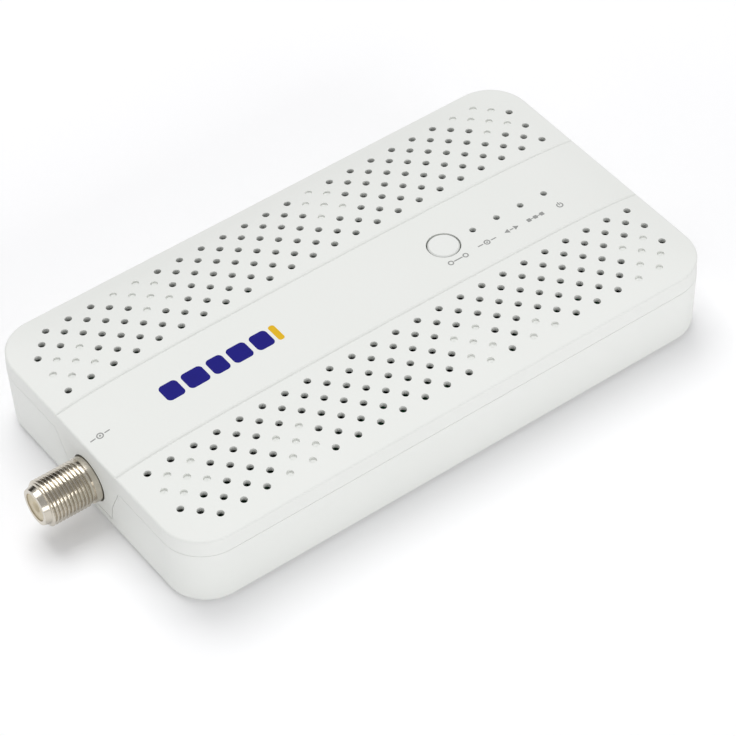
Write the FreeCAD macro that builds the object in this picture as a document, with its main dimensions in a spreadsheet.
import FreeCAD, Part
import math
import os
import Sketcher as Sketch
from FreeCAD import Placement, Rotation, Vector

# A desktop adapter that carries a network over a television coax cable: a low white
# plastic case with a crowned, perforated cover, a coax socket on one end, and a network
# socket, a power socket and a reset pinhole on the other. +X runs from the coax end to
# the network end, +Z is up, and the case stands on z = 0.

DOC = FreeCAD.newDocument("coax_ethernet_adapter")
SHEET = DOC.addObject("Spreadsheet::Sheet", "sizes")

SIZES = (
    ("case_length", 124.8, "outside, at the seam"),
    ("case_width", 69.6, "outside, at the seam"),
    ("case_height", 19.0, "underside to the middle of the crown"),
    ("corner_radius", 9.1, "outside corner in plan"),
    ("cover_depth", 6.0, "middle of the crown down to the seam"),
    ("crown_drop", 2.2, "middle of the crown down to its rim"),
    ("cover_draft", 1.0, "degrees"),
    ("tray_draft", 2.0, "degrees"),
    ("side_wall", 2.0, "both shells"),
    ("roof_wall", 1.8, "cover"),
    ("floor_wall", 2.0, "tray"),
    ("rim_round", 0.45, "between the sides and the crown"),
    ("base_round", 0.7, "round the underside"),
    ("seam_gap", 0.08, "shadow line between the shells"),
    ("tongue_height", 1.6, "tray's tongue above the seam"),
    ("tongue_wall", 0.9, "tray's tongue"),
    ("tongue_gap", 0.1, "tongue to cover"),
    ("groove_spacing", 20.4, "between the two grooves of the middle band"),
    ("groove_width", 0.8, "V groove"),
    ("groove_depth", 0.3, "V groove"),
    ("vent_pitch", 5.2, "hole to hole along a row"),
    ("vent_row_pitch", 2.7, "row to row"),
    ("vent_first_row", 13.5, "middle line to the first row"),
    ("vent_radius", 0.75, "hole"),
    ("vent_margin", 4.0, "vents stay this far inside the case's outline"),
    ("vent_wall", 1.0, "roof where it is perforated"),
    ("vent_land", 1.6, "first row to the edge of the thinner roof"),
    ("dimple_depth", 0.45, "blind vents"),
    ("boss_radius", 3.2, "screw bosses of both shells"),
    ("boss_front_inset", 9.1, "coax end to its bosses"),
    ("boss_front_side", 15.9, "long sides to the bosses at the coax end"),
    ("boss_back_inset", 10.4, "network end to its bosses"),
    ("boss_back_side", 8.5, "long sides to the bosses at the network end"),
    ("boss_join", 10.0, "height where tray and cover bosses meet"),
    ("post_radius", 3.0, "board posts of the cover"),
    ("post_front_steps", 6, "vent pitches to the posts towards the coax end"),
    ("post_back_steps", 2, "vent pitches to the posts towards the network end"),
    ("post_side", 8.5, "long sides to the board posts"),
    ("blind_reach", 5.5, "vents this near a boss or post stay blind"),
    ("rib_radius", 1.1, "small ribs under the roof"),
    ("rib_drop", 1.2, "ribs below the roof"),
    ("screw_radius", 1.3, "case screw"),
    ("screw_head_radius", 2.4, "case screw"),
    ("screw_head_height", 1.5, "case screw"),
    ("screw_length", 12.5, "case screw under its head"),
    ("screw_way", 0.2, "screw to its clearance hole"),
    ("counterbore_depth", 2.2, "from the underside"),
    ("foot_stand", 0.8, "feet below the underside"),
    ("foot_radius", 4.0, "foot"),
    ("foot_recess", 0.5, "foot into the tray"),
    ("foot_inset", 20.4, "ends to the feet"),
    ("foot_side", 8.8, "long sides to the feet"),
    ("foot_round", 0.4, "foot's lower edge"),
    ("foot_gap", 0.15, "foot to the side of its recess"),
    ("label_length", 54.0, "blank rating label"),
    ("label_side", 19.8, "long sides to the blank rating label"),
    ("label_thickness", 0.15, "blank rating label"),
    ("label_recess", 0.3, "into the underside"),
    ("slot_pitch", 5.0, "air slots of the tray"),
    ("slot_width", 2.0, "air slots of the tray"),
    ("slot_length", 8.0, "air slots of the tray"),
    ("slot_side", 12.3, "long sides to the middle of the air slots"),
    ("slot_count", 5, "air slots each way from the middle"),
    ("coax_height", 8.9, "coax axis above the table"),
    ("coax_radius", 4.76, "3/8-32 thread crest"),
    ("coax_reach", 12.0, "coax tip beyond the case"),
    ("coax_tip_length", 1.5, "plain lead-in at the tip"),
    ("coax_tip_set", 1.0, "thread crest down to the end of the lead-in"),
    ("coax_thread_depth", 0.46, "thread crest to root"),
    ("coax_pitch", 0.794, "32 threads to the inch"),
    ("coax_collar", 1.2, "plain collar at the case"),
    ("coax_relief", 0.8, "undercut between collar and thread"),
    ("coax_relief_depth", 0.55, "undercut below the thread's crest"),
    ("coax_hole_gap", 0.3, "thread to the hole in the case"),
    ("coax_bore_radius", 2.95, "socket bore"),
    ("coax_fit", 0.02, "insulator to the bore and to the contact"),
    ("coax_entry_flare", 0.5, "insulator's bevelled mouth"),
    ("coax_entry_bevel", 0.6, "insulator's bevelled mouth"),
    ("coax_entry_depth", 0.8, "straight part of the insulator's mouth"),
    ("coax_contact_bore", 0.5, "sprung contact"),
    ("coax_contact_set", 0.2, "sprung contact behind the mouth"),
    ("coax_contact_depth", 7.4, "sprung contact's bore"),
    ("coax_tail_reach", 1.5, "contact behind the block"),
    ("coax_tip_land", 0.35, "thickness the lead-in starts with"),
    ("coax_tip_ramp", 0.25, "bevel from the thread to the lead-in"),
    ("thread_mouth", 0.44, "half width of the thread's groove, in pitches"),
    ("thread_floor", 0.06, "half width of the groove's floor, in pitches"),
    ("thread_over", 0.05, "groove's cutter beyond the crest"),
    ("coax_wing_root", 0.8, "solder wings under the block's sides"),
    ("coax_wing_reach", 2.4, "solder wings onto the board"),
    ("coax_wing_height", 1.0, "solder wings"),
    ("coax_block_rim", 0.44, "thread crest to the sides of the block inside the case"),
    ("coax_block_length", 7.0, "block along X"),
    ("coax_setback", 0.4, "block behind the wall"),
    ("coax_entry_radius", 0.75, "hole in the insulator"),
    ("coax_contact_radius", 1.1, "spring contact tube"),
    ("coax_insulator_set", 0.25, "insulator face inside the tip"),
    ("tab_web", 2.54, "coax hole to the side of the cover's tab"),
    ("tab_flare", 3.2, "tab wider at the seam than at its waist"),
    ("tab_taper", 1.2, "tab narrower at its lower end than at its waist"),
    ("tab_waist_drop", 1.5, "waist below the coax axis"),
    ("tab_foot_drop", 0.89, "lower end of the tab below the coax hole"),
    ("tab_gap", 0.12, "tab to tray"),
    ("board_height", 4.4, "underside of the board above the table"),
    ("board_thickness", 1.6, "circuit board"),
    ("board_end_gap", 4.2, "ends of the case to the board"),
    ("board_side_gap", 5.2, "long sides of the case to the board"),
    ("board_corner", 2.0, "circuit board"),
    ("board_gap", 0.7, "board to bosses and sunk sockets"),
    ("board_screw_radius", 1.0, "board screw"),
    ("board_head_radius", 1.9, "board screw"),
    ("board_head_height", 1.1, "board screw"),
    ("board_screw_length", 6.0, "board screw under its head"),
    ("button_x", 21.8, "middle to the pairing button"),
    ("button_radius", 3.2, "button cap"),
    ("button_gap", 0.3, "cap to its hole"),
    ("button_proud", 0.05, "cap above the crown"),
    ("button_flange_radius", 4.3, "flange under the roof"),
    ("button_flange", 0.8, "flange thickness"),
    ("button_rest_gap", 0.1, "flange to the roof at rest"),
    ("button_stem_radius", 1.5, "stem"),
    ("button_edge_round", 0.25, "cap edge"),
    ("switch_side", 6.0, "pairing switch"),
    ("switch_height", 3.5, "pairing switch"),
    ("plunger_radius", 1.75, "pairing switch plunger"),
    ("plunger_rise", 1.4, "plunger above its switch"),
    ("plunger_sunk", 1.2, "plunger inside its switch"),
    ("plunger_gap", 0.06, "plunger to its bore"),
    ("plunger_room", 0.6, "free depth under a plunger"),
    ("stem_gap", 0.05, "stem to plunger"),
    ("lamp_x", 29.0, "middle to the first lamp"),
    ("lamp_pitch", 5.95, "lamp to lamp"),
    ("lamp_hole_radius", 0.7, "lamp hole"),
    ("pipe_radius", 0.6, "light pipe in its hole"),
    ("pipe_foot_radius", 1.1, "light pipe over its lamp"),
    ("pipe_recess", 0.9, "pipe end below the crown"),
    ("pipe_bar_height", 1.2, "bar that joins the light pipes"),
    ("pipe_bar_width", 2.6, "bar that joins the light pipes"),
    ("pipe_shoulder", 0.4, "shoulder below the roof"),
    ("lamp_length", 1.6, "status lamp"),
    ("lamp_width", 1.2, "status lamp"),
    ("lamp_height", 0.7, "status lamp"),
    ("lamp_clear", 0.3, "light pipe above its lamp"),
    ("jack_boss_gap", 3.5, "boss to the network socket"),
    ("jack_width", 16.2, "network socket"),
    ("jack_length", 15.6, "network socket"),
    ("jack_bottom", 3.1, "network socket above the table"),
    ("jack_skin", 0.25, "network socket's shield"),
    ("jack_play", 0.02, "housing to its shield"),
    ("jack_lip", 0.1, "housing behind the shield's front edge"),
    ("jack_inset", 0.3, "socket face behind the case face"),
    ("jack_way", 0.25, "socket to its opening in the case"),
    ("plug_width", 11.9, "plug opening"),
    ("plug_height", 6.8, "plug opening"),
    ("plug_depth", 12.2, "plug opening"),
    ("plug_top_wall", 1.3, "housing above the plug opening"),
    ("plug_bottom_wall", 0.6, "housing below the latch notch"),
    ("latch_width", 6.3, "latch notch"),
    ("latch_height", 1.7, "latch notch"),
    ("hook_width", 3.4, "narrow latch notch"),
    ("hook_height", 0.9, "narrow latch notch"),
    ("contact_pitch", 1.016, "network contacts"),
    ("contact_width", 0.46, "network contacts"),
    ("contact_thickness", 0.25, "network contacts"),
    ("contact_length", 8.6, "network contacts"),
    ("contact_set", 0.6, "contact's foot in front of the plug opening's end"),
    ("contact_drop", 3.4, "contact's foot below the top of the plug opening"),
    ("power_boss_gap", 4.6, "boss to the power socket"),
    ("power_height", 10.5, "power socket axis above the table"),
    ("power_width", 9.0, "power socket"),
    ("power_length", 13.6, "power socket"),
    ("power_top", 4.5, "power socket above its axis"),
    ("power_collar_radius", 4.0, "collar in the case wall"),
    ("power_bore_radius", 3.0, "for a 5.5 mm plug"),
    ("power_bore_depth", 10.0, "for a 5.5 mm plug"),
    ("power_pin_radius", 1.0, "centre pin"),
    ("power_pin_set", 0.8, "centre pin behind the face"),
    ("power_way", 0.2, "collar to its hole"),
    ("power_setback", 0.3, "block behind the wall"),
    ("power_face_set", 0.2, "collar's face behind the case face"),
    ("spring_length", 3.4, "contact spring along X"),
    ("spring_width", 2.4, "contact spring along Y"),
    ("spring_way", 0.3, "contact spring to the sides of its notch"),
    ("spring_drop", 1.8, "socket's axis to the bottom of the notch"),
    ("spring_dip", 0.25, "contact spring into the bore"),
    ("spring_sunk", 0.1, "contact spring below the top of the block"),
    ("spring_back", 5.9, "contact spring behind the block's front"),
    ("reset_gap", 2.8, "power socket to the reset switch"),
    ("reset_height", 8.1, "pinhole axis above the table"),
    ("reset_hole_radius", 0.8, "pinhole"),
    ("reset_plunger_radius", 1.0, "reset plunger"),
    ("reset_set", 1.2, "plunger behind the wall"),
    ("reset_rise", 1.3, "plunger beyond its switch"),
    ("reset_sunk", 1.0, "plunger inside its switch"),
    ("reset_length", 3.6, "reset switch along X"),
    ("reset_width", 6.2, "reset switch along Y"),
    ("reset_body_height", 4.2, "reset switch"),
    ("shield_gap", 3.0, "coax socket's block to the radio shield"),
    ("shield_length", 30.0, "radio shield"),
    ("shield_width", 34.0, "radio shield"),
    ("shield_height", 3.4, "radio shield"),
    ("shield_skin", 0.3, "radio shield"),
    ("lid_skirt", 1.2, "lid's skirt"),
    ("lid_gap", 0.05, "lid to its frame"),
    ("lid_hole_radius", 0.8, "lid's air holes"),
    ("lid_hole_pitch", 4.2, "lid's air holes"),
    ("chip_gap", 6.5, "radio shield to the heat sink"),
    ("chip_side", 12.0, "network chip"),
    ("chip_height", 0.9, "network chip"),
    ("pad_height", 0.8, "thermal pad"),
    ("sink_side", 19.0, "heat sink"),
    ("sink_base", 1.5, "heat sink"),
    ("sink_fin_height", 4.2, "heat sink"),
    ("sink_fin", 1.0, "heat sink fin"),
    ("sink_fin_count", 6, "heat sink fins"),
    ("lead_width", 0.4, "chip leads"),
    ("lead_reach", 0.9, "chip leads beyond the body"),
    ("lead_height", 0.25, "chip leads"),
    ("lead_margin", 0.5, "chip's end to its first lead"),
    ("lead_root", 0.2, "chip leads inside the body"),
    ("chip_stand", 0.12, "leaded chips above the board"),
    ("crystal_corner", 1.9, "crystal can in plan"),
    ("coil_side", 6.8, "power inductor's base"),
    ("coil_base", 1.0, "power inductor's base"),
    ("coil_radius", 3.2, "power inductor's flanges"),
    ("coil_core", 2.3, "power inductor's waist"),
    ("coil_height", 3.4, "power inductor's drum"),
    ("coil_flange", 0.75, "power inductor's flanges"),
    ("coil_sunk", 0.1, "drum into its base"),
    ("can_radius", 3.15, "bulk capacitor"),
    ("can_height", 6.8, "bulk capacitor"),
    ("can_base", 0.8, "bulk capacitor's plastic base"),
    ("can_base_rim", 0.15, "can to the sides of its base"),
    ("can_sunk", 0.2, "can into its base"),
    ("can_crimp", 1.0, "can's foot to its crimp"),
    ("can_crimp_depth", 0.28, "can's crimp"),
    ("can_bevel", 0.4, "can's top"),
    ("leg_side", 0.7, "contact's leg"),
    ("row_pitch", 2.2, "chip part to chip part"),
    ("ceramic_long", 2.0, "ceramic capacitor across its row"),
    ("ceramic_wide", 1.0, "ceramic capacitor along its row"),
    ("ceramic_high", 0.9, "ceramic capacitor"),
    ("resistor_long", 1.6, "chip resistor across its row"),
    ("resistor_wide", 0.9, "chip resistor along its row"),
    ("resistor_high", 0.45, "chip resistor"),
)

# Board parts. Each number becomes a size named after its part and column.
CHIPS = (
    ("ethernet_chip", 30.5, -13.0, 8.0, 8.0, 1.4, 8),
    ("memory_chip", 12.0, 13.5, 5.2, 5.3, 1.7, 4),
    ("regulator_chip", 31.0, 14.0, 5.0, 4.0, 1.5, 4),
    ("line_transformer", 15.0, -15.0, 12.6, 9.2, 4.6, 8),
    ("crystal", 2.0, 17.0, 10.0, 4.0, 3.2, 0),
)
CHIP_COLUMNS = ("x", "y", "length", "width", "height", "leads")
PLACES = (
    ("coil", 38.5, 21.5),
    ("can_1", 22.0, 20.5),
    ("can_2", 29.5, 21.5),
    ("ceramic_row_1", -12.0, 13.5),
    ("ceramic_row_2", 24.0, -20.5),
    ("ceramic_row_3", 34.0, 8.0),
    ("resistor_row_1", -12.0, -14.5),
    ("resistor_row_2", 2.0, -22.0),
    ("resistor_row_3", 30.0, -6.5),
)


class Size:
    """A length that knows its number and the sheet formula it comes from."""

    def __init__(self, number, formula=""):
        self.number = float(number)
        self.formula = formula or f"({self.number:.9g})"

    def joined(self, other, sign, number):
        return Size(number, f"({self.formula} {sign} {other.formula})")

    def __add__(self, other):
        other = as_size(other)
        return self.joined(other, "+", self.number + other.number)

    def __sub__(self, other):
        other = as_size(other)
        return self.joined(other, "-", self.number - other.number)

    def __mul__(self, other):
        other = as_size(other)
        return self.joined(other, "*", self.number * other.number)

    def __truediv__(self, other):
        other = as_size(other)
        return self.joined(other, "/", self.number / other.number)

    def __pow__(self, power):
        return Size(self.number**power, f"({self.formula} ^ {power})")

    def __neg__(self):
        return self * -1

    def __radd__(self, other):
        return as_size(other) + self

    def __rsub__(self, other):
        return as_size(other) - self

    def __rmul__(self, other):
        return self * other


def as_size(value):
    return value if isinstance(value, Size) else Size(value)


class Sizes:
    """The sheet's cells by name."""


def fill_sheet():
    lines = list(SIZES)
    for part, *numbers in CHIPS + PLACES:
        for column, number in zip(CHIP_COLUMNS, numbers):
            lines.append((f"{part}_{column}", number, "board part"))
    sizes = Sizes()
    for line, (name, number, note) in enumerate(lines, start=1):
        SHEET.set(f"A{line}", name)
        SHEET.set(f"B{line}", str(number))
        SHEET.set(f"C{line}", note)
        SHEET.setAlias(f"B{line}", name)
        setattr(sizes, name, Size(number, f"sizes.{name}"))
    DOC.recompute()
    return sizes


def part_size(part, *columns):
    """Some of a board part's sizes, in the order asked for."""
    return [getattr(S, f"{part}_{column}") for column in columns]


S = fill_sheet()

# Heights above the table, and the case's middle in X: the origin is under the middle of
# the whole length, coax socket included, so the case stands half the socket's reach off it.
CASE_MIDDLE = S.coax_reach / 2
CASE_TOP = S.foot_stand + S.case_height
SEAM = CASE_TOP - S.cover_depth
FLOOR = S.foot_stand + S.floor_wall
BOARD_TOP = S.board_height + S.board_thickness
HALF_LENGTH = S.case_length / 2
HALF_WIDTH = S.case_width / 2
COAX_END = -HALF_LENGTH
NETWORK_END = HALF_LENGTH
LAMPS = [S.lamp_x + S.lamp_pitch * step for step in range(4)]
COAX_HOLE = S.coax_radius + S.coax_hole_gap
COAX_BLOCK = 2 * (S.coax_radius + S.coax_block_rim)
COAX_BLOCK_X = COAX_END + S.side_wall + S.coax_setback
BOSS_BACK_Y = HALF_WIDTH - S.boss_back_side
JACK_Y = -(BOSS_BACK_Y - S.boss_radius - S.jack_boss_gap - S.jack_width / 2)
PLUG_DEPTH_TOTAL = S.plug_height + S.latch_height + S.hook_height
JACK_HEIGHT = S.plug_top_wall + PLUG_DEPTH_TOTAL + S.plug_bottom_wall + 2 * S.jack_skin
POWER_Y = BOSS_BACK_Y - S.boss_radius - S.power_boss_gap - S.power_width / 2
RESET_Y = POWER_Y - S.power_width / 2 - S.reset_gap - S.reset_width / 2
SHIELD_X = COAX_BLOCK_X + S.coax_block_length + S.shield_gap + S.shield_length / 2
LABEL_WIDTH = S.case_width - 2 * S.label_side
CHIP_X = SHIELD_X + S.shield_length / 2 + S.chip_gap + S.sink_side / 2
TOOL_REACH = 3.0  # how far cutting shapes run past what they cut
TINY = 0.000001  # keeps a vent that falls exactly on a limit

ALONG_Z = Rotation()
ALONG_X = Rotation(Vector(0, 1, 0), 90)
ALONG_MINUS_X = Rotation(Vector(0, 1, 0), -90)
SPRING_SLOPE = Rotation(Vector(0, 1, 0), -18)  # the network contacts' lean

BOSS_FRONT = (S.boss_front_inset - HALF_LENGTH, HALF_WIDTH - S.boss_front_side)
BOSS_BACK = (HALF_LENGTH - S.boss_back_inset, BOSS_BACK_Y)
POST_FRONT = (-S.post_front_steps * S.vent_pitch, HALF_WIDTH - S.post_side)
POST_BACK = (S.post_back_steps * S.vent_pitch, HALF_WIDTH - S.post_side)


def both_sides(*places):
    """Each place and its mirror image across the middle line."""
    return [(x, side * y) for x, y in places for side in (-1, 1)]


SCREW_PLACES = both_sides(BOSS_FRONT, BOSS_BACK)
POST_PLACES = both_sides(POST_FRONT, POST_BACK)
# Vent rows, and the small ribs that stand in the outermost two, in vent pitches along X.
ROW_SPAN = (HALF_WIDTH - S.vent_margin - S.vent_first_row).number
ROW_COUNT = 1 + int(ROW_SPAN / S.vent_row_pitch.number + TINY)
OUTER_ROW = S.vent_first_row + (ROW_COUNT - 1) * S.vent_row_pitch
RIB_PLACES = [
    (-7 * S.vent_pitch, -OUTER_ROW),
    (-7 * S.vent_pitch, OUTER_ROW),
    (9 * S.vent_pitch, -OUTER_ROW),
    (9 * S.vent_pitch, OUTER_ROW),
    (4.5 * S.vent_pitch, -(OUTER_ROW - S.vent_row_pitch)),
    (4 * S.vent_pitch, -OUTER_ROW),
    (5 * S.vent_pitch, -OUTER_ROW),
]


# ---------------------------------------------------------------- building blocks


def bind(item, **links):
    """Ties properties to the sheet; a double underscore in a name stands for a dot."""
    for name, value in links.items():
        item.setExpression(name.replace("__", "."), as_size(value).formula)


def put(item, x, y, z, turn=ALONG_Z):
    """Places an item at a point given from the case's middle."""
    item.Placement = Placement(Vector(), turn)
    bind(
        item,
        Placement__Base__x=CASE_MIDDLE + x,
        Placement__Base__y=y,
        Placement__Base__z=z,
    )
    return item


def box(name, middle, bottom, size):
    """A box from its middle in plan, its lowest z and its three sizes."""
    item = DOC.addObject("Part::Box", name)
    length, width, height = size
    bind(item, Length=length, Width=width, Height=height)
    return put(item, middle[0] - length / 2, middle[1] - width / 2, bottom)


def rod(name, foot, radius, length, turn=ALONG_Z):
    """A round rod from the middle of its lower end."""
    item = DOC.addObject("Part::Cylinder", name)
    bind(item, Radius=radius, Height=length)
    return put(item, *foot, turn)


def joined(name, items):
    item = DOC.addObject("Part::MultiFuse", name)
    item.Shapes = items
    item.Refine = True
    return item


def grouped(name, items):
    item = DOC.addObject("Part::Compound", name)
    item.Links = items
    return item


def cut(name, base, tools):
    item = DOC.addObject("Part::Cut", name)
    item.Base = base
    item.Tool = tools[0] if len(tools) == 1 else joined(f"{name}_tools", tools)
    return item


def common(name, first, second):
    item = DOC.addObject("Part::MultiCommon", name)
    item.Shapes = [first, second]
    return item


def new_body(name, x=0.0, y=0.0, z=0.0, turn=ALONG_Z):
    return put(DOC.addObject("PartDesign::Body", name), x, y, z, turn)


def new_sketch(body, name, plane="XY_Plane"):
    sketch = body.newObject("Sketcher::SketchObject", name)
    origin = [part for part in body.Origin.OriginFeatures if part.Role == plane]
    sketch.AttachmentSupport = [(origin[0], "")]
    sketch.MapMode = "FlatFace"
    return sketch


def dimension(sketch, kind, *places):
    """Adds one dimension and ties it to the sheet; the last of places is its size."""
    size = as_size(places[-1])
    index = sketch.addConstraint(Sketch.Constraint(kind, *places[:-1], size.number))
    sketch.setExpression(f"Constraints[{index}]", size.formula)


def outline(sketch, points):
    """A closed outline of straight lines, each corner held by its own two distances."""
    corners = [Vector(as_size(x).number, as_size(y).number, 0) for x, y in points]
    for start, end in zip(corners, corners[1:] + corners[:1]):
        sketch.addGeometry(Part.LineSegment(start, end))
    for index, (x, y) in enumerate(points):
        before = (index - 1) % len(points)
        sketch.addConstraint(Sketch.Constraint("Coincident", before, 2, index, 1))
        for kind, value, axis in (("DistanceX", x, -2), ("DistanceY", y, -1)):
            if as_size(value).number == 0:
                sketch.addConstraint(Sketch.Constraint("PointOnObject", index, 1, axis))
            else:
                dimension(sketch, kind, -1, 1, index, 1, value)


def rounded_outline(sketch, length, width, radius):
    """A rectangle about the origin with four equal round corners."""
    half_x, half_y, round_ = length.number / 2, width.number / 2, radius.number
    x, y = half_x - round_, half_y - round_
    spans = [((-x, -half_y), (x, -half_y)), ((half_x, -y), (half_x, y))]
    spans += [((x, half_y), (-x, half_y)), ((-half_x, y), (-half_x, -y))]
    for start, end in spans:
        sketch.addGeometry(Part.LineSegment(Vector(*start, 0), Vector(*end, 0)))
    quarter = math.pi / 2
    for turn, (side_x, side_y) in enumerate(((x, -y), (x, y), (-x, y), (-x, -y))):
        circle = Part.Circle(Vector(side_x, side_y, 0), Vector(0, 0, 1), round_)
        start = (turn - 1) * quarter
        sketch.addGeometry(Part.ArcOfCircle(circle, start, start + quarter))
    for side in range(4):
        corner = 4 + side
        following = (side + 1) % 4
        sketch.addConstraint(Sketch.Constraint("Tangent", side, 2, corner, 1))
        sketch.addConstraint(Sketch.Constraint("Tangent", corner, 2, following, 1))
        kind = "Horizontal" if side % 2 == 0 else "Vertical"
        sketch.addConstraint(Sketch.Constraint(kind, side))
        if side:
            sketch.addConstraint(Sketch.Constraint("Equal", 4, corner))
    dimension(sketch, "Radius", 4, radius)
    sketch.addConstraint(Sketch.Constraint("Symmetric", 0, 1, 2, 1, -1, 1))
    dimension(sketch, "DistanceX", 3, 1, 1, 1, length)
    dimension(sketch, "DistanceY", 0, 1, 2, 1, width)


def pad(body, sketch, length, draft=0, downwards=False):
    feature = body.newObject("PartDesign::Pad", f"{body.Name}_pad")
    feature.Profile = sketch
    feature.Reversed = downwards
    bind(feature, Length=length)
    if draft:
        bind(feature, TaperAngle=-draft)
    sketch.Visibility = False
    return feature


def case_block(name, inset, level, height, draft=0, downwards=False):
    """A block with the case's outline, set in all round, that narrows with its draft."""
    body = new_body(name, z=level)
    sketch = new_sketch(body, f"{name}_outline")
    length = S.case_length - 2 * inset
    width = S.case_width - 2 * inset
    rounded_outline(sketch, length, width, S.corner_radius - inset)
    pad(body, sketch, height, draft, downwards)
    return body


def turned(name, profile, foot=(0.0, 0.0, 0.0), turn=ALONG_Z):
    """A body of revolution about its own Z from (radius, height) points."""
    body = new_body(name, *foot, turn)
    sketch = new_sketch(body, f"{name}_profile", "XZ_Plane")
    outline(sketch, profile)
    feature = body.newObject("PartDesign::Revolution", f"{name}_turn")
    feature.Profile = sketch
    feature.ReferenceAxis = (sketch, ["V_Axis"])
    feature.Angle = 360.0
    return body


def body_from(name, base):
    """A body that starts from a finished item."""
    body = DOC.addObject("PartDesign::Body", name)
    body.BaseFeature = base
    return body


def ease(body, radius, wanted):
    """Rounds the edges of a body so far that wanted() picks."""
    DOC.recompute()
    start = body.Tip or body.Group[-1]
    numbers = [f"Edge{n}" for n, edge in enumerate(start.Shape.Edges, 1) if wanted(edge)]
    feature = body.newObject("PartDesign::Fillet", f"{body.Name}_round")
    feature.Base = (start, numbers)
    bind(feature, Radius=radius)
    return body


def coded(name, shape):
    """A shape built in code from the sheet's numbers, placed like the rest."""
    item = DOC.addObject("Part::Feature", name)
    item.Shape = shape
    item.Placement = Placement(Vector(CASE_MIDDLE.number, 0, 0), ALONG_Z)
    return item


# ---------------------------------------------------------------- the crown


def crown(x, y):
    """Height of the cover's outer surface at a point, as sheet sizes or numbers.

    Both falls are flat in the middle and reach one at the case's rim, so the rim of the
    crown lies level all round.
    """
    along = x / HALF_LENGTH
    across = y / HALF_WIDTH
    end_fall = 0.45 * along**2 + 0.55 * along**8
    side_fall = across**4
    return CASE_TOP - S.crown_drop * (1 - (1 - end_fall) * (1 - side_fall))


def above_crown(name, depth):
    """Everything above the crown surface moved down by a depth."""
    steps_x, steps_y = 24, 14
    reach_x = HALF_LENGTH.number + TOOL_REACH
    reach_y = HALF_WIDTH.number + TOOL_REACH
    rows = []
    for step_x in range(steps_x + 1):
        x = reach_x * (2 * step_x / steps_x - 1)
        row = []
        for step_y in range(steps_y + 1):
            y = reach_y * (2 * step_y / steps_y - 1)
            row.append(Vector(x, y, crown(Size(x), Size(y)).number - depth.number))
        rows.append(row)
    surface = Part.BSplineSurface()
    surface.interpolate(rows)
    return coded(name, surface.toShape().extrude(Vector(0, 0, S.case_height.number)))


# ---------------------------------------------------------------- the cover


def row_reach(y):
    """How far along X the vents may go in a row at a height y in plan."""
    corner = (S.corner_radius - S.vent_margin).number
    straight = HALF_LENGTH.number - S.vent_margin.number - corner
    into_corner = max(0.0, y - (HALF_WIDTH - S.corner_radius).number)
    return straight + math.sqrt(max(0.0, corner**2 - into_corner**2))


def vent_places():
    """Every vent of both strips, with whether it goes right through the roof."""
    solid = [(x, y, S.blind_reach) for x, y in SCREW_PLACES + POST_PLACES]
    solid += [(x, y, S.rib_radius) for x, y in RIB_PLACES]
    pitch = S.vent_pitch.number
    for row in range(ROW_COUNT):
        y = (S.vent_first_row + row * S.vent_row_pitch).number
        shift = 0.5 * (row % 2)
        count = int(row_reach(y) / pitch - shift + TINY)
        steps = [shift + step for step in range(count + 1)]
        steps += [-step for step in steps if step]
        for x, side_y in both_sides(*((step * pitch, y) for step in steps)):
            through = all(
                math.hypot(x - px.number, side_y - py.number) > gap.number
                for px, py, gap in solid
            )
            yield x, side_y, through


def vent_tools():
    """One drill for each vent; the blind ones stop below the crown by the dimple depth."""
    drills = []
    for x, y, through in vent_places():
        surface = crown(Size(x), Size(y)).number
        depth = 2 * S.vent_wall.number if through else S.dimple_depth.number
        foot = Vector(x, y, surface - depth)
        drills.append(Part.makeCylinder(S.vent_radius.number, depth + 1, foot))
    return coded("vent_drills", Part.makeCompound(drills))


def groove_tools():
    """The two V grooves that bound the smooth middle band and follow the crown."""
    depth, width = S.groove_depth.number, S.groove_width.number
    reach = HALF_LENGTH.number + TOOL_REACH
    stations = 32
    grooves = []
    for side in (-1, 1):
        y = side * S.groove_spacing.number / 2
        sections = []
        for station in range(stations + 1):
            x = reach * (2 * station / stations - 1)
            top = crown(Size(x), Size(y)).number
            corners = [
                Vector(x, y, top - depth),
                Vector(x, y + width, top + depth),
                Vector(x, y - width, top + depth),
            ]
            sections.append(Part.makePolygon(corners + corners[:1]))
        grooves.append(Part.makeLoft(sections, True))
    return coded("grooves", Part.makeCompound(grooves))


def post(name, place, bottom, radius):
    """A round post from a height up into the thickness of the perforated roof."""
    x, y = place
    top = crown(x, y) - S.vent_wall / 2
    return rod(name, (x, y, bottom), radius, top - bottom)


def cover_tab(outer):
    """The cover's tab round the coax socket, flush with the tray's sloping end."""
    return common("cover_tab", tab_prism("tab_prism", 0), outer)


def tab_prism(name, gap):
    """The tab's outline through the end wall, wider by a gap all round."""
    body = new_body(name, x=COAX_END - TOOL_REACH)
    sketch = new_sketch(body, f"{name}_outline", "YZ_Plane")
    waist = COAX_HOLE + S.tab_web + gap
    foot = S.coax_height - COAX_HOLE - S.tab_foot_drop - gap
    right = [
        (waist - S.tab_taper, foot),
        (waist, S.coax_height - S.tab_waist_drop),
        (waist + S.tab_flare, SEAM),
        (waist + S.tab_flare, SEAM + S.tongue_height + 2 * S.tongue_gap),
    ]
    left = [(-y, z) for y, z in reversed(right)]
    outline(sketch, right + left)
    pad(body, sketch, S.side_wall + TOOL_REACH)
    return body


def coax_way():
    return rod(
        "coax_way",
        (COAX_END + S.side_wall + TOOL_REACH, 0, S.coax_height),
        COAX_HOLE,
        S.side_wall + 2 * TOOL_REACH,
        ALONG_MINUS_X,
    )


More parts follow.
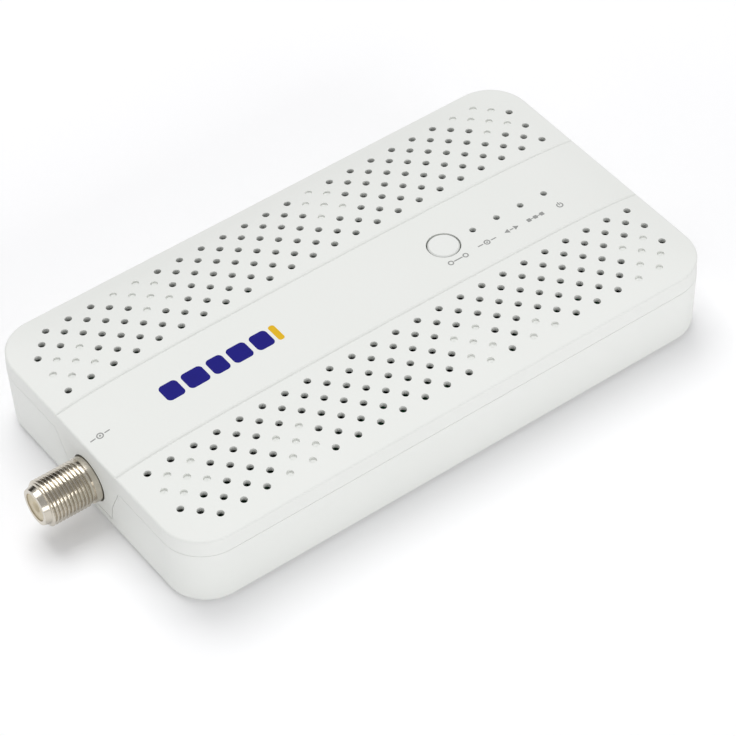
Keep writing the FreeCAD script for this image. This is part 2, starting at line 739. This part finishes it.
def network_way():
    size = (
        S.side_wall + 2 * TOOL_REACH,
        S.jack_width + 2 * S.jack_way,
        JACK_HEIGHT + 2 * S.jack_way,
    )
    return box("network_way", (NETWORK_END, JACK_Y), S.jack_bottom - S.jack_way, size)


def power_way():
    return rod(
        "power_way",
        (NETWORK_END - S.side_wall - TOOL_REACH, POWER_Y, S.power_height),
        S.power_collar_radius + S.power_way,
        S.side_wall + 2 * TOOL_REACH,
        ALONG_X,
    )


def reset_way():
    return rod(
        "reset_way",
        (NETWORK_END - S.side_wall - TOOL_REACH, RESET_Y, S.reset_height),
        S.reset_hole_radius,
        S.side_wall + 2 * TOOL_REACH,
        ALONG_X,
    )


def seam_slab():
    size = (S.case_length + TOOL_REACH, S.case_width + TOOL_REACH, S.seam_gap)
    return box("seam_slab", (0, 0), SEAM - S.seam_gap / 2, size)


def top_cover(outer_tray, ways, slab):
    """Crowned roof, perforated strips, bosses, board posts and the coax tab."""
    rim = SEAM.number + (S.cover_depth - S.crown_drop).number / 2
    blank = case_block("cover_blank", Size(0), SEAM, S.cover_depth + 1, S.cover_draft)
    raw = cut("cover_raw", blank, [above_crown("above_case", Size(0))])
    cover_body = body_from("cover_outer", raw)
    outer = ease(cover_body, S.rim_round, lambda edge: edge.BoundBox.ZMin > rim)
    room = case_block("cover_room", S.side_wall, SEAM, S.cover_depth + 1, S.cover_draft)
    inner = cut("cover_inner", room, [above_crown("above_roof", S.roof_wall)])
    band_width = 2 * (S.vent_first_row - S.vent_land)
    band_size = (S.case_length, band_width, S.case_height)
    band = box("middle_band", (0, 0), SEAM - 1, band_size)
    strips = cut("strip_rooms", room, [above_crown("above_strips", S.vent_wall), band])
    rebate_inset = S.side_wall - S.tongue_wall - S.tongue_gap
    rebate = case_block("cover_rebate", rebate_inset, SEAM, S.tongue_height + S.tongue_gap)
    walls = cut("cover_walls", outer, [inner, strips, rebate, slab])
    both = joined("both_outsides", [outer_tray, outer])
    pieces = [walls, cover_tab(both)]
    for number, place in enumerate(SCREW_PLACES, 1):
        pieces.append(post(f"cover_boss_{number}", place, S.boss_join, S.boss_radius))
    for number, place in enumerate(POST_PLACES, 1):
        pieces.append(post(f"board_post_{number}", place, BOARD_TOP, S.post_radius))
    for number, place in enumerate(RIB_PLACES, 1):
        bottom = crown(*place) - S.vent_wall - S.rib_drop
        pieces.append(post(f"roof_rib_{number}", place, bottom, S.rib_radius))
    tools = [groove_tools(), button_way(), ways]
    for number, x in enumerate(LAMPS, 1):
        foot = (x, 0, SEAM)
        tools.append(rod(f"lamp_way_{number}", foot, S.lamp_hole_radius, S.cover_depth + 1))
    for number, (x, y) in enumerate(SCREW_PLACES, 1):
        reach = FLOOR_SCREW_SEAT + S.screw_length - S.boss_join + S.screw_way
        tools.append(rod(f"boss_pilot_{number}", (x, y, S.boss_join), S.screw_radius, reach))
    for number, (x, y) in enumerate(POST_PLACES, 1):
        reach = S.board_screw_length - S.board_thickness + S.screw_way
        foot = (x, y, BOARD_TOP)
        tools.append(rod(f"post_pilot_{number}", foot, S.board_screw_radius, reach))
    solid = joined("cover_solid", pieces)
    finished = cut("cover_unvented", solid, tools)
    cut("top_cover", finished, [vent_tools()])


def button_way():
    foot = (S.button_x, 0, SEAM)
    return rod("button_way", foot, S.button_radius + S.button_gap, S.cover_depth + 1)


# ---------------------------------------------------------------- the tray

FLOOR_SCREW_SEAT = S.foot_stand + S.counterbore_depth


def tray_outside():
    """The tray's outside from the seam down, rounded along the underside."""
    depth = SEAM - S.foot_stand
    blank = case_block("tray_blank", Size(0), SEAM, depth, S.tray_draft, downwards=True)
    low = -depth.number + 0.1
    return ease(blank, S.base_round, lambda edge: edge.BoundBox.ZMax < low)


def slot_tools():
    size = (S.slot_width, S.slot_length, S.floor_wall + 2 * TOOL_REACH)
    steps = range(-int(S.slot_count.number), int(S.slot_count.number) + 1)
    places = both_sides(*((step * S.slot_pitch, HALF_WIDTH - S.slot_side) for step in steps))
    return [
        box(f"air_slot_{number}", place, S.foot_stand - TOOL_REACH, size)
        for number, place in enumerate(places, 1)
    ]


def bottom_tray(outer, ways, slab):
    """Open tray with a tongue round its rim, screw bosses, air slots and recesses."""
    depth = SEAM - FLOOR
    room = case_block("tray_room", S.side_wall, SEAM, depth, S.tray_draft, downwards=True)
    walls = cut("tray_walls", outer, [room, slab])
    tongue_level = SEAM - 1
    tongue_height = S.tongue_height + 1
    tongue_out = case_block("tongue_out", S.side_wall - S.tongue_wall, tongue_level, tongue_height)
    tongue_in = case_block("tongue_in", S.side_wall, tongue_level - 1, tongue_height + 2)
    pieces = [walls, cut("tongue", tongue_out, [tongue_in])]
    for number, (x, y) in enumerate(SCREW_PLACES, 1):
        foot = (x, y, FLOOR - S.floor_wall / 2)
        height = S.boss_join - FLOOR + S.floor_wall / 2
        pieces.append(rod(f"tray_boss_{number}", foot, S.boss_radius, height))
    tools = [ways, tab_prism("tab_room", S.tab_gap)] + slot_tools()
    for number, (x, y) in enumerate(SCREW_PLACES, 1):
        low = S.foot_stand - TOOL_REACH
        head = S.screw_head_radius + S.screw_way
        tools.append(rod(f"screw_head_way_{number}", (x, y, low), head, FLOOR_SCREW_SEAT - low))
        shank = S.screw_radius + S.screw_way
        tools.append(rod(f"screw_way_{number}", (x, y, low), shank, S.boss_join - low + 1))
    for number, (x, y) in enumerate(foot_places(), 1):
        foot = (x, y, S.foot_stand - TOOL_REACH)
        radius = S.foot_radius + S.foot_gap
        tools.append(rod(f"foot_recess_{number}", foot, radius, TOOL_REACH + S.foot_recess))
    recess = (S.label_length + 1, LABEL_WIDTH + 1, TOOL_REACH + S.label_recess)
    tools.append(box("label_recess_tool", (0, 0), S.foot_stand - TOOL_REACH, recess))
    cut("bottom_tray", joined("tray_solid", pieces), tools)


def foot_places():
    x, y = HALF_LENGTH - S.foot_inset, HALF_WIDTH - S.foot_side
    return both_sides((-x, y), (x, y))


def rubber_feet():
    """Four round feet stuck in shallow recesses."""
    height = S.foot_stand + S.foot_recess
    profile = [
        (0, 0),
        (S.foot_radius - S.foot_round, 0),
        (S.foot_radius, S.foot_round),
        (S.foot_radius, height),
        (0, height),
    ]
    feet = [
        turned(f"foot_{number}", profile, (x, y, Size(0)))
        for number, (x, y) in enumerate(foot_places(), 1)
    ]
    grouped("rubber_feet", feet)


def rating_label():
    size = (S.label_length, LABEL_WIDTH, S.label_thickness)
    bottom = S.foot_stand + S.label_recess - S.label_thickness
    box("rating_label", (0, 0), bottom, size)


def screw(name, place, seat, head_radius, head_height, radius, length):
    """A pan-head screw with a cross recess that points up from its seat."""
    x, y = place
    rim = head_height * 0.45
    profile = [
        (0, -head_height),
        (head_radius * 0.7, -head_height),
        (head_radius, -rim),
        (head_radius, 0),
        (radius, 0),
        (radius, length - radius),
        (radius * 0.35, length),
        (0, length),
    ]
    blank = turned(f"{name}_blank", profile, (x, y, seat))
    depth = head_height * 0.6
    long_side, short_side = head_radius * 1.1, head_radius * 0.28
    low = seat - head_height - 1
    arms = [
        box(f"{name}_arm_a", place, low, (long_side, short_side, depth + 1)),
        box(f"{name}_arm_b", place, low, (short_side, long_side, depth + 1)),
    ]
    return cut(name, blank, arms)


def case_screws():
    grouped(
        "case_screws",
        [
            screw(
                f"case_screw_{number}",
                place,
                FLOOR_SCREW_SEAT,
                S.screw_head_radius,
                S.screw_head_height,
                S.screw_radius,
                S.screw_length,
            )
            for number, place in enumerate(SCREW_PLACES, 1)
        ],
    )


def board_screws():
    grouped(
        "board_screws",
        [
            screw(
                f"board_screw_{number}",
                place,
                S.board_height,
                S.board_head_radius,
                S.board_head_height,
                S.board_screw_radius,
                S.board_screw_length,
            )
            for number, place in enumerate(POST_PLACES, 1)
        ],
    )


# ---------------------------------------------------------------- button and lamps


def push_button():
    """Round cap, flange that stays under the roof, and a stem down to its switch."""
    surface = crown(S.button_x, Size(0))
    top = surface + S.button_proud
    flange_top = surface - S.roof_wall - S.button_rest_gap
    stem_end = BOARD_TOP + S.switch_height + S.plunger_rise + S.stem_gap
    easing = S.button_edge_round
    profile = [
        (0, stem_end),
        (S.button_stem_radius, stem_end),
        (S.button_stem_radius, flange_top - S.button_flange),
        (S.button_flange_radius, flange_top - S.button_flange),
        (S.button_flange_radius, flange_top),
        (S.button_radius, flange_top),
        (S.button_radius, top - easing),
        (S.button_radius - easing, top),
        (0, top),
    ]
    turned("push_button", profile, (S.button_x, 0, Size(0)))


def pairing_switch():
    """Push switch on the board under the button, with its own plunger."""
    place = (S.button_x, Size(0))
    top = BOARD_TOP + S.switch_height
    size = (S.switch_side, S.switch_side, S.switch_height)
    case = box("pairing_switch_case", place, BOARD_TOP, size)
    bore_foot = (*place, top - S.plunger_sunk - S.plunger_room)
    bore = rod("pairing_bore", bore_foot, S.plunger_radius + S.plunger_gap, S.switch_height)
    cut("pairing_switch", case, [bore])
    foot = (*place, top - S.plunger_sunk)
    rod("pairing_plunger", foot, S.plunger_radius, S.plunger_sunk + S.plunger_rise)


def light_pipe():
    """Four clear pipes on one bar, each from just over its lamp into its hole."""
    pipes = []
    low = BOARD_TOP + S.lamp_height + S.lamp_clear
    bar_top = crown(LAMPS[-1], Size(0)) - S.roof_wall - S.pipe_shoulder
    for number, x in enumerate(LAMPS, 1):
        pipes.append(rod(f"pipe_foot_{number}", (x, 0, low), S.pipe_foot_radius, bar_top - low))
        tip = crown(x, Size(0)) - S.pipe_recess
        pipes.append(rod(f"pipe_tip_{number}", (x, 0, low), S.pipe_radius, tip - low))
    middle = ((LAMPS[0] + LAMPS[-1]) / 2, Size(0))
    length = LAMPS[-1] - LAMPS[0] + 4 * S.pipe_foot_radius
    size = (length, S.pipe_bar_width, S.pipe_bar_height)
    pipes.append(box("pipe_bar", middle, bar_top - S.pipe_bar_height, size))
    joined("light_pipe", pipes)


def status_lamps():
    size = (S.lamp_length, S.lamp_width, S.lamp_height)
    lamps = enumerate(LAMPS, 1)
    pieces = [box(f"lamp_{number}", (x, Size(0)), BOARD_TOP, size) for number, x in lamps]
    grouped("status_lamps", pieces)


# ---------------------------------------------------------------- the board


def circuit_board():
    """Board with clearances for the bosses and the two sunk sockets."""
    body = new_body("board_blank", z=S.board_height)
    sketch = new_sketch(body, "board_outline")
    length = S.case_length - 2 * S.board_end_gap
    width = S.case_width - 2 * S.board_side_gap
    rounded_outline(sketch, length, width, S.board_corner)
    pad(body, sketch, S.board_thickness)
    low = S.board_height - 1
    tall = S.board_thickness + 2
    tools = []
    for number, (x, y) in enumerate(SCREW_PLACES, 1):
        radius = S.boss_radius + S.board_gap
        tools.append(rod(f"board_boss_way_{number}", (x, y, low), radius, tall))
    for number, (x, y) in enumerate(POST_PLACES, 1):
        radius = S.board_screw_radius + S.screw_way
        tools.append(rod(f"board_screw_way_{number}", (x, y, low), radius, tall))
    coax_depth = 2 * (S.side_wall + S.coax_setback + S.coax_block_length + S.board_gap)
    coax_size = (coax_depth, COAX_BLOCK + 2 * S.board_gap, tall)
    tools.append(box("board_coax_notch", (COAX_END, Size(0)), low, coax_size))
    jack_depth = 2 * (S.jack_inset + S.jack_length + S.board_gap)
    jack_size = (jack_depth, S.jack_width + 2 * S.board_gap, tall)
    tools.append(box("board_jack_notch", (NETWORK_END, JACK_Y), low, jack_size))
    cut("circuit_board", body, tools)


def coax_barrel():
    """Round barrel with a plain collar, an undercut and then the thread to the tip."""
    inside = S.side_wall + S.coax_setback
    root = S.coax_radius - S.coax_thread_depth
    undercut = S.coax_radius - S.coax_relief_depth
    thread_start = S.coax_collar + S.coax_relief
    thread_end = S.coax_reach - S.coax_tip_length
    tip_radius = S.coax_radius - S.coax_tip_set
    profile = [
        (S.coax_bore_radius, -inside),
        (root, -inside),
        (root, 0),
        (S.coax_radius, 0),
        (S.coax_radius, S.coax_collar),
        (undercut, S.coax_collar),
        (undercut, thread_start),
        (S.coax_radius, thread_start),
        (S.coax_radius, thread_end),
        (tip_radius + S.coax_tip_land, thread_end + S.coax_tip_ramp),
        (tip_radius, S.coax_reach),
        (S.coax_bore_radius, S.coax_reach),
    ]
    place = (COAX_END, Size(0), S.coax_height)
    barrel = turned("coax_barrel", profile, place, ALONG_MINUS_X)
    DOC.recompute()
    groove = new_sketch(barrel, "coax_thread_profile", "XZ_Plane")
    mouth, floor = S.coax_pitch * S.thread_mouth, S.coax_pitch * S.thread_floor
    first = S.coax_collar + S.coax_relief / 2 + floor
    outer = S.coax_radius + S.thread_over
    corners = [
        (root, first - floor),
        (outer, first - mouth),
        (outer, first + mouth),
        (root, first + floor),
    ]
    outline(groove, corners)
    thread = barrel.newObject("PartDesign::SubtractiveHelix", "coax_thread")
    thread.Profile = groove
    thread.ReferenceAxis = (groove, ["V_Axis"])
    thread.Mode = 0
    bind(thread, Pitch=S.coax_pitch, Height=thread_end + S.coax_pitch - first)
    return barrel


def coax_socket():
    """Threaded socket with a square block that sits in the board's notch."""
    barrel = coax_barrel()
    middle = (COAX_BLOCK_X + S.coax_block_length / 2, Size(0))
    low = S.coax_height - COAX_BLOCK / 2
    block = box("coax_block", middle, low, (S.coax_block_length, COAX_BLOCK, COAX_BLOCK))
    bore = rod(
        "coax_block_bore",
        (COAX_BLOCK_X - 1, 0, S.coax_height),
        S.coax_bore_radius,
        S.coax_block_length + 2,
        ALONG_X,
    )
    wing_width = S.coax_wing_root + S.board_gap + S.coax_wing_reach
    wing_y = COAX_BLOCK / 2 - S.coax_wing_root + wing_width / 2
    size = (S.coax_block_length - 2, wing_width, S.coax_wing_height)
    wings = [
        box(f"coax_wing_{number}", (middle[0], side * wing_y), BOARD_TOP, size)
        for number, side in enumerate((-1, 1), 1)
    ]
    joined("coax_socket", [cut("coax_bored", block, [bore]), barrel] + wings)


def coax_inner():
    """Insulator in the socket's bore, and the sprung contact inside it."""
    inside = S.side_wall + S.coax_setback + S.coax_block_length
    face = S.coax_reach - S.coax_insulator_set
    radius = S.coax_bore_radius - S.coax_fit
    sleeve = S.coax_contact_radius + S.coax_fit
    shelf = face - S.coax_entry_bevel - S.coax_entry_depth
    profile = [
        (sleeve, -inside),
        (radius, -inside),
        (radius, face),
        (S.coax_entry_radius + S.coax_entry_flare, face),
        (S.coax_entry_radius, face - S.coax_entry_bevel),
        (S.coax_entry_radius, shelf),
        (sleeve, shelf),
    ]
    place = (COAX_END, Size(0), S.coax_height)
    turned("coax_insulator", profile, place, ALONG_MINUS_X)
    start = -inside - S.coax_tail_reach
    mouth = shelf - S.coax_contact_set
    profile = [
        (0, start),
        (S.coax_contact_radius, start),
        (S.coax_contact_radius, mouth),
        (S.coax_contact_bore, mouth),
        (S.coax_contact_bore, mouth - S.coax_contact_depth),
        (0, mouth - S.coax_contact_depth),
    ]
    tube = turned("contact_tube", profile, place, ALONG_MINUS_X)
    end_x = COAX_END + inside + S.coax_tail_reach - S.leg_side / 2
    tail_height = S.coax_height - BOARD_TOP
    tail = box("contact_tail", (end_x, Size(0)), BOARD_TOP, (S.leg_side, S.leg_side, tail_height))
    joined("coax_contact", [tube, tail])


def network_jack():
    """Shielded network socket with its plug opening, latch notch and eight contacts."""
    middle_x = NETWORK_END - S.jack_inset - S.jack_length / 2
    place = (middle_x, JACK_Y)
    outside = (S.jack_length, S.jack_width, JACK_HEIGHT)
    shell = box("jack_shell", place, S.jack_bottom, outside)
    skin = S.jack_skin
    hollow = (S.jack_length, S.jack_width - 2 * skin, JACK_HEIGHT - 2 * skin)
    shell_room = box("jack_shell_room", (middle_x + skin, JACK_Y), S.jack_bottom + skin, hollow)
    cut("jack_shield", shell, [shell_room])
    inner_length = S.jack_length - skin - S.jack_lip
    inner = (inner_length, hollow[1] - 2 * S.jack_play, hollow[2] - 2 * S.jack_play)
    inner_x = NETWORK_END - S.jack_inset - S.jack_lip - inner_length / 2
    block = box("jack_block", (inner_x, JACK_Y), S.jack_bottom + skin + S.jack_play, inner)
    top = S.jack_bottom + JACK_HEIGHT - skin - S.plug_top_wall
    face = NETWORK_END - S.jack_inset
    low = top - S.plug_height
    ways = [
        ("plug_way", S.plug_width, low, S.plug_height),
        ("latch_way", S.latch_width, low - S.latch_height, S.latch_height + 1),
        ("hook_way", S.hook_width, low - S.latch_height - S.hook_height, S.hook_height + 1),
    ]
    tools = []
    for name, width, bottom, height in ways:
        size = (2 * S.plug_depth, width, height)
        tools.append(box(name, (face, JACK_Y), bottom, size))
    cut("jack_housing", block, tools)
    contacts = []
    for step in range(8):
        y = JACK_Y + (step - 3.5) * S.contact_pitch - S.contact_width / 2
        contact = DOC.addObject("Part::Box", f"jack_contact_{step + 1}")
        bind(contact, Length=S.contact_length, Width=S.contact_width, Height=S.contact_thickness)
        foot_x = face - S.plug_depth + S.contact_set
        put(contact, foot_x, y, top - S.contact_drop, SPRING_SLOPE)
        contacts.append(contact)
    grouped("jack_contacts", contacts)


def power_socket():
    """Barrel power socket: body with a collar in the wall, centre pin and spring."""
    start = NETWORK_END - S.side_wall - S.power_setback
    body_x = start - S.power_length / 2
    size = (S.power_length, S.power_width, S.power_height - BOARD_TOP + S.power_top)
    block = box("power_block", (body_x, POWER_Y), BOARD_TOP, size)
    collar_length = S.side_wall + S.power_setback - S.power_face_set
    axis = (start - 1, POWER_Y, S.power_height)
    collar = rod("power_collar", axis, S.power_collar_radius, collar_length + 1, ALONG_X)
    face = start + collar_length
    bore_foot = (face - S.power_bore_depth, POWER_Y, S.power_height)
    bore = rod("power_bore", bore_foot, S.power_bore_radius, S.power_bore_depth + 1, ALONG_X)
    notch_middle = (start - S.spring_back, POWER_Y)
    notch_length = S.spring_length + 2 * S.spring_way
    notch_size = (notch_length, S.spring_width + 2 * S.spring_way, S.power_top)
    notch = box("power_notch", notch_middle, S.power_height + S.spring_drop, notch_size)
    cut("power_jack", joined("power_outside", [block, collar]), [bore, notch])
    pin_foot = (face - S.power_bore_depth, POWER_Y, S.power_height)
    pin_length = S.power_bore_depth - S.power_pin_set
    rod("power_pin", pin_foot, S.power_pin_radius, pin_length, ALONG_X)
    spring_bottom = S.power_bore_radius - S.spring_dip
    spring_size = (S.spring_length, S.spring_width, S.power_top - S.spring_sunk - spring_bottom)
    box("power_spring", notch_middle, S.power_height + spring_bottom, spring_size)


def reset_switch():
    """Side-acting push switch behind the pinhole, with its own plunger."""
    tip = NETWORK_END - S.side_wall - S.reset_set
    front = tip - S.reset_rise
    middle = (front - S.reset_length / 2, RESET_Y)
    size = (S.reset_length, S.reset_width, S.reset_body_height)
    case = box("reset_switch_case", middle, BOARD_TOP, size)
    depth = S.reset_sunk + S.plunger_room
    bore_foot = (front - depth, RESET_Y, S.reset_height)
    radius = S.reset_plunger_radius
    bore = rod("reset_bore", bore_foot, radius + S.plunger_gap, depth + 1, ALONG_X)
    cut("reset_switch", case, [bore])
    foot = (front - S.reset_sunk, RESET_Y, S.reset_height)
    rod("reset_plunger", foot, radius, S.reset_sunk + S.reset_rise, ALONG_X)


def radio_shield():
    """Soldered frame and its snap-on lid over the radio section."""
    place = (SHIELD_X, Size(0))
    skin = S.shield_skin
    outside = (S.shield_length, S.shield_width, S.shield_height)
    frame = box("shield_outside", place, BOARD_TOP, outside)
    room_size = (S.shield_length - 2 * skin, S.shield_width - 2 * skin, S.shield_height + 2)
    room = box("shield_room", place, BOARD_TOP - 1, room_size)
    divider_size = (skin, S.shield_width, S.shield_height)
    divider = box("shield_divider", place, BOARD_TOP, divider_size)
    joined("shield_frame", [cut("shield_walls", frame, [room]), divider])
    gap = S.lid_gap
    top = BOARD_TOP + S.shield_height
    wide = 2 * (skin + gap)
    skirt_bottom = top - S.lid_skirt
    lid_size = (S.shield_length + wide, S.shield_width + wide, S.lid_skirt + skin)
    lid = box("lid_outside", place, skirt_bottom, lid_size)
    inside = (S.shield_length + 2 * gap, S.shield_width + 2 * gap, S.lid_skirt + 1)
    tools = [box("lid_room", place, skirt_bottom - 1, inside)]
    for step_x in range(-3, 4):
        for step_y in range(-3, 4):
            x = SHIELD_X + step_x * S.lid_hole_pitch
            y = step_y * S.lid_hole_pitch
            name = f"lid_hole_{step_x + 4}_{step_y + 4}"
            tools.append(rod(name, (x, y, top - skin), S.lid_hole_radius, 3 * skin))
    cut("shield_lid", lid, tools)


def network_chip():
    """Main chip, thermal pad and finned heat sink, one on the other."""
    place = (CHIP_X, Size(0))
    box("network_chip", place, BOARD_TOP, (S.chip_side, S.chip_side, S.chip_height))
    pad_bottom = BOARD_TOP + S.chip_height
    box("thermal_pad", place, pad_bottom, (S.chip_side, S.chip_side, S.pad_height))
    base_bottom = pad_bottom + S.pad_height
    pieces = [box("sink_plate", place, base_bottom, (S.sink_side, S.sink_side, S.sink_base))]
    count = int(S.sink_fin_count.number)
    spacing = (S.sink_side - S.sink_fin) / (S.sink_fin_count - 1)
    for step in range(count):
        y = spacing * step - (S.sink_side - S.sink_fin) / 2
        size = (S.sink_side, S.sink_fin, S.sink_fin_height + 0.5)
        bottom = base_bottom + S.sink_base - 0.5
        pieces.append(box(f"sink_fin_{step + 1}", (CHIP_X, y), bottom, size))
    joined("heat_sink", pieces)


def leaded_chip(name):
    """A moulded chip with gull-wing leads along two sides."""
    columns = ("x", "y", "length", "width", "height", "leads")
    middle_x, middle_y, length, width, height, leads = part_size(name, *columns)
    bottom = BOARD_TOP + S.chip_stand
    pieces = [box(f"{name}_body", (middle_x, middle_y), bottom, (length, width, height))]
    spacing = (length - 2 * S.lead_margin) / (leads - 1)
    lead_size = (S.lead_width, S.lead_reach + S.lead_root, S.lead_height)
    for side in (-1, 1):
        y = middle_y + side * (width + S.lead_reach - S.lead_root) / 2
        for step in range(int(leads.number)):
            x = middle_x + spacing * step - length / 2 + S.lead_margin
            lead_name = f"{name}_lead_{'near' if side < 0 else 'far'}_{step + 1}"
            pieces.append(box(lead_name, (x, y), BOARD_TOP, lead_size))
    joined(name, pieces)


def crystal_clock():
    """Low metal crystal can."""
    columns = ("x", "y", "length", "width", "height")
    x, y, length, width, height = part_size("crystal", *columns)
    body = new_body("crystal", x, y, BOARD_TOP)
    sketch = new_sketch(body, "crystal_outline")
    rounded_outline(sketch, length, width, S.crystal_corner)
    pad(body, sketch, height)


def power_inductor():
    """Drum-shaped ferrite inductor on a square base."""
    place = part_size("coil", "x", "y")
    base = box("inductor_base", place, BOARD_TOP, (S.coil_side, S.coil_side, S.coil_base))
    flange, bevel = S.coil_flange, S.coil_radius - S.coil_core
    high = S.coil_height
    drum = [
        (0, 0),
        (S.coil_radius, 0),
        (S.coil_radius, flange),
        (S.coil_core, flange + bevel / 2),
        (S.coil_core, high - flange - bevel / 2),
        (S.coil_radius, high - flange),
        (S.coil_radius, high),
        (0, high),
    ]
    coil = turned("inductor_drum", drum, (*place, BOARD_TOP + S.coil_base - S.coil_sunk))
    joined("power_inductor", [base, coil])


def bulk_capacitors():
    """Two aluminium cans on square plastic bases."""
    cans = []
    radius, high = S.can_radius, S.can_height
    side = 2 * (radius + S.can_base_rim)
    for number in (1, 2):
        place = part_size(f"can_{number}", "x", "y")
        base = box(f"can_base_{number}", place, BOARD_TOP, (side, side, S.can_base))
        profile = [
            (0, 0),
            (radius, 0),
            (radius, S.can_crimp),
            (radius - S.can_crimp_depth, S.can_crimp + S.can_crimp_depth),
            (radius, S.can_crimp + 2 * S.can_crimp_depth),
            (radius, high - S.can_bevel),
            (radius - S.can_bevel, high),
            (0, high),
        ]
        foot = (*place, BOARD_TOP + S.can_base - S.can_sunk)
        can = turned(f"can_{number}", profile, foot)
        cans.append(joined(f"bulk_capacitor_{number}", [base, can]))
    grouped("bulk_capacitors", cans)


def chip_row(row, count, size):
    """A row of chip parts along X from the row's first place."""
    x, y = part_size(row, "x", "y")
    return [
        box(f"{row}_{step + 1}", (x + S.row_pitch * step, y), BOARD_TOP, size)
        for step in range(count)
    ]


def chip_parts():
    """Small ceramic capacitors and resistors in rows on the board."""
    ceramic = (S.ceramic_wide, S.ceramic_long, S.ceramic_high)
    resistor = (S.resistor_wide, S.resistor_long, S.resistor_high)
    kinds = (
        ("ceramic_capacitors", "ceramic_row", (5, 6, 3), ceramic),
        ("chip_resistors", "resistor_row", (5, 6, 4), resistor),
    )
    for name, row, counts, size in kinds:
        pieces = []
        for number, count in enumerate(counts, 1):
            pieces += chip_row(f"{row}_{number}", count, size)
        grouped(name, pieces)


NODES = (
    "top_cover",
    "bottom_tray",
    "rubber_feet",
    "case_screws",
    "rating_label",
    "push_button",
    "pairing_switch",
    "pairing_plunger",
    "light_pipe",
    "status_lamps",
    "circuit_board",
    "board_screws",
    "coax_socket",
    "coax_insulator",
    "coax_contact",
    "jack_shield",
    "jack_housing",
    "jack_contacts",
    "power_jack",
    "power_pin",
    "power_spring",
    "reset_switch",
    "reset_plunger",
    "shield_frame",
    "shield_lid",
    "network_chip",
    "thermal_pad",
    "heat_sink",
    "ethernet_chip",
    "memory_chip",
    "regulator_chip",
    "line_transformer",
    "crystal",
    "power_inductor",
    "bulk_capacitors",
    "ceramic_capacitors",
    "chip_resistors",
)


LEADED_CHIPS = ("ethernet_chip", "memory_chip", "regulator_chip", "line_transformer")


def build():
    slab = seam_slab()
    tray = tray_outside()
    ways = joined("port_ways", [coax_way(), network_way(), power_way(), reset_way()])
    bottom_tray(tray, ways, slab)
    top_cover(tray, ways, slab)
    rubber_feet()
    case_screws()
    rating_label()
    push_button()
    pairing_switch()
    light_pipe()
    status_lamps()
    circuit_board()
    board_screws()
    coax_socket()
    coax_inner()
    network_jack()
    power_socket()
    reset_switch()
    radio_shield()
    network_chip()
    for name in LEADED_CHIPS:
        leaded_chip(name)
    crystal_clock()
    power_inductor()
    bulk_capacitors()
    chip_parts()
    DOC.recompute()


def check_and_write():
    """Stops on any failed feature or bad shape, then writes one STEP file a node."""
    failed = [item.Label for item in DOC.Objects if {"Invalid", "Error"} & set(item.State)]
    if failed:
        raise RuntimeError(f"features that failed: {failed}")
    os.makedirs("parts", exist_ok=True)
    for name in NODES:
        shape = DOC.getObject(name).Shape
        if shape.isNull() or not shape.isValid() or not shape.Solids:
            raise RuntimeError(f"{name} has no valid solid")
        print(f"{name}: {len(shape.Solids)} solids, {shape.Volume:.1f} mm3")
    for name in NODES:
        DOC.getObject(name).Shape.exportStep(f"parts/{name}.step")


build()
check_and_write()
